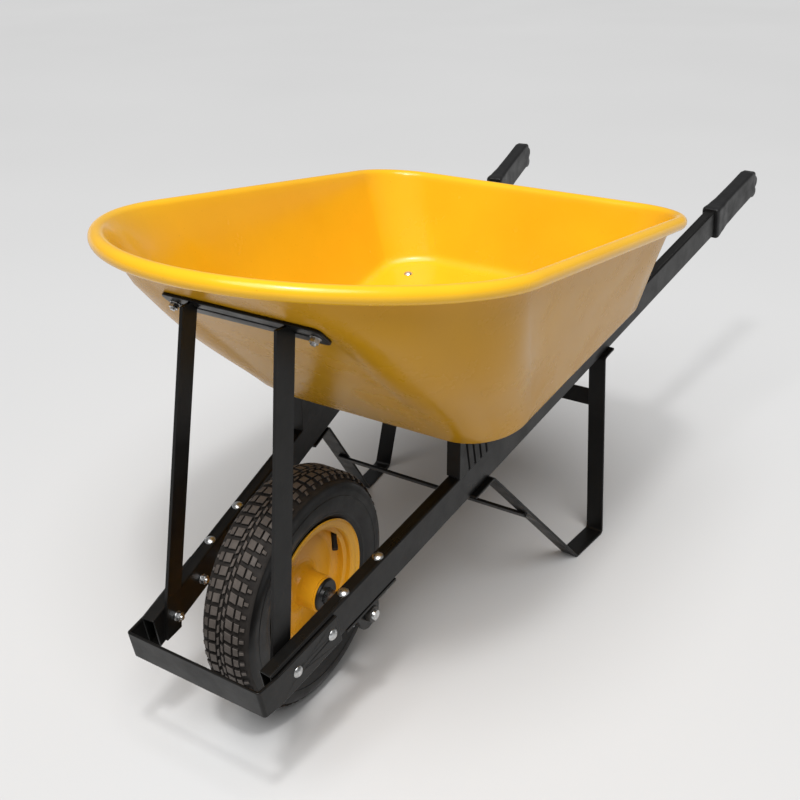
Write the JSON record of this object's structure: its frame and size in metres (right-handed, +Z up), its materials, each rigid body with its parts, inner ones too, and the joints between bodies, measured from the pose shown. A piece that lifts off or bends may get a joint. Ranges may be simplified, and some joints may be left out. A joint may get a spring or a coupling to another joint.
{
  "type": "wheelbarrow",
  "caption": "Builder's wheelbarrow with a yellow pressed steel tray, black steel frame and a pneumatic front wheel that spins.",
  "frame": {"origin": "on the ground, under the middle of the whole wheelbarrow", "axes": "+Z up, -Y towards the wheel and nose, +Y towards the handles, +X to the left of the person pushing it"},
  "size_m": [0.6838, 1.6686, 0.7898],
  "materials": {
    "frame_paint": "satin",
    "tray_paint": "gloss",
    "rim_paint": "gloss",
    "grip_plastic": "satin",
    "riser_plastic": "satin",
    "zinc_steel": "satin",
    "bearing_steel": "satin",
    "cap_plastic": "gloss",
    "tyre_rubber": "matte",
    "valve_rubber": "matte"
  },
  "bodies": {
    "frame": {"rail_left": "frame_paint", "rail_right": "frame_paint", "grip_left": "grip_plastic", "grip_right": "grip_plastic", "nose_guard": "frame_paint", "strut_left": "frame_paint", "strut_right": "frame_paint", "cross_bar": "frame_paint", "leg_left": "frame_paint", "leg_right": "frame_paint", "lower_brace": "frame_paint", "upper_brace": "frame_paint", "riser_left": "riser_plastic", "riser_right": "riser_plastic", "axle_bracket_left": "frame_paint", "axle_bracket_right": "frame_paint", "tray": "tray_paint", "axle": "zinc_steel", "axle_nuts": "zinc_steel", "axle_spacers": "zinc_steel", "guard_bolts": "zinc_steel", "guard_nuts": "zinc_steel", "bracket_bolts": "zinc_steel", "bracket_nuts": "zinc_steel", "cross_bar_bolts": "zinc_steel", "cross_bar_nuts": "zinc_steel", "tray_bolts": "zinc_steel", "tray_nuts": "zinc_steel", "washers": "zinc_steel"},
    "wheel": {"tyre": "tyre_rubber", "inner_tube": "tyre_rubber", "rim_left": "rim_paint", "rim_right": "rim_paint", "hub": "rim_paint", "bearings": "bearing_steel", "hub_caps": "cap_plastic", "valve": "valve_rubber"}
  },
  "joints": [
    {"name": "wheel_spin", "type": "hinge", "parent": "frame", "child": "wheel", "pos_m": [0, -0.58182, 0.19], "axis": [1, 0, 0], "continuous": true}
  ]
}
